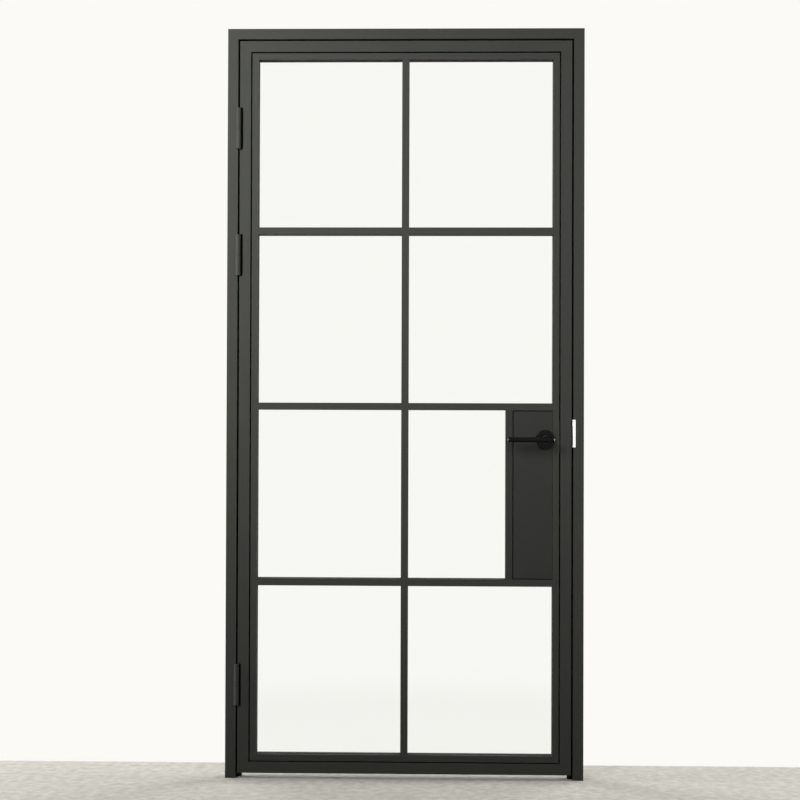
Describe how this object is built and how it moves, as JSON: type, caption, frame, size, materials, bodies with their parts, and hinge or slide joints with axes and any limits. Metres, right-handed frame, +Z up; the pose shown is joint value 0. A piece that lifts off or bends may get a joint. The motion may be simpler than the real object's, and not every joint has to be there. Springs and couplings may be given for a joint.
{
  "type": "glass door",
  "caption": "Black steel-framed glass door in its frame, divided by slim bars into panes, with barrel hinges, a lock plate and a lever that draws a latch.",
  "frame": {"origin": "bottom centre: the floor under the middle of the frame, halfway through the leaf's depth", "axes": "+Z up, +X to the lock side seen from the front, +Y from the front (the side the leaf opens towards) to the rear"},
  "size_m": [1, 0.148, 2.1],
  "materials": {
    "powder_coat": "black fine-texture powder coat on folded steel sheet",
    "satin_black": "satin black lacquer on cast zinc",
    "stainless": "brushed stainless steel",
    "zinc_plated": "zinc-plated steel",
    "black_acetal": "black acetal, self-lubricating",
    "black_passivated": "zinc-plated steel, black passivated",
    "clear_glass": "clear laminated float glass",
    "seal_rubber": "black extruded rubber",
    "glazing_foam": "black closed-cell glazing tape",
    "block_plastic": "moulded polypropylene"
  },
  "bodies": {
    "frame": {"hinge_jamb": "powder_coat", "strike_jamb": "powder_coat", "frame_head": "powder_coat", "side_seals": "seal_rubber", "head_seal": "seal_rubber", "strike_plate": "stainless", "strike_screws": "stainless", "hinge_pins": "stainless", "hinge_washers": "black_acetal", "hinge_upper_jamb_knuckle": "powder_coat", "hinge_middle_jamb_knuckle": "powder_coat", "hinge_lower_jamb_knuckle": "powder_coat"},
    "leaf": {"bead_bottom": "powder_coat", "bead_hinge_side": "powder_coat", "bead_lock_side": "powder_coat", "bead_top": "powder_coat", "bottom_rail": "powder_coat", "forend_screws": "stainless", "front_lock_bar": "powder_coat", "front_mullion": "powder_coat", "front_transom_lower": "powder_coat", "front_transom_middle": "powder_coat", "front_transom_upper": "powder_coat", "glazing_tape_front": "glazing_foam", "glazing_tape_rear": "glazing_foam", "hinge_lower_leaf_knuckle": "powder_coat", "hinge_middle_leaf_knuckle": "powder_coat", "hinge_stile": "powder_coat", "hinge_upper_leaf_knuckle": "powder_coat", "latch_spring": "zinc_plated", "lock_case": "black_passivated", "lock_cover": "black_passivated", "lock_plate_front": "powder_coat", "lock_plate_rear": "powder_coat", "lock_stile": "powder_coat", "pane_1_left": "clear_glass", "pane_1_right": "clear_glass", "pane_2_left": "clear_glass", "pane_2_right": "clear_glass", "pane_3_left": "clear_glass", "pane_3_right": "clear_glass", "pane_4_left": "clear_glass", "pane_4_right": "clear_glass", "rear_lock_bar": "powder_coat", "rear_mullion": "powder_coat", "rear_transom_lower": "powder_coat", "rear_transom_middle": "powder_coat", "rear_transom_upper": "powder_coat", "rosette_bases": "zinc_plated", "rosette_front": "satin_black", "rosette_rear": "satin_black", "rosette_screws": "zinc_plated", "setting_blocks": "block_plastic", "top_rail": "powder_coat"},
    "lever": {"lever_front": "satin_black", "lever_rear": "satin_black", "spindle": "zinc_plated", "follower": "zinc_plated", "grub_screws": "black_passivated"},
    "latch": {"latch_bolt": "black_passivated"}
  },
  "joints": [
    {"name": "leaf_swing", "type": "hinge", "parent": "frame", "child": "leaf", "pos_m": [-0.469, -0.022, 1.04], "axis": [0, 0, -1], "range_deg": [0, 170]},
    {"name": "lever_turn", "type": "hinge", "parent": "leaf", "child": "lever", "pos_m": [0.393, 0, 0.949], "axis": [0, -1, 0], "range_deg": [0, 40], "stiffness_Nm_per_rad": 1.2, "springref_deg": -34.38},
    {"name": "latch_slide", "type": "slide", "parent": "leaf", "child": "latch", "axis": [-1, 0, 0], "range_m": [0, 0.0125], "deforming": ["latch_spring"]}
  ],
  "couplings": [
    {"joint": "latch_slide", "follows": "lever_turn", "m_per_rad": 0.017726}
  ]
}
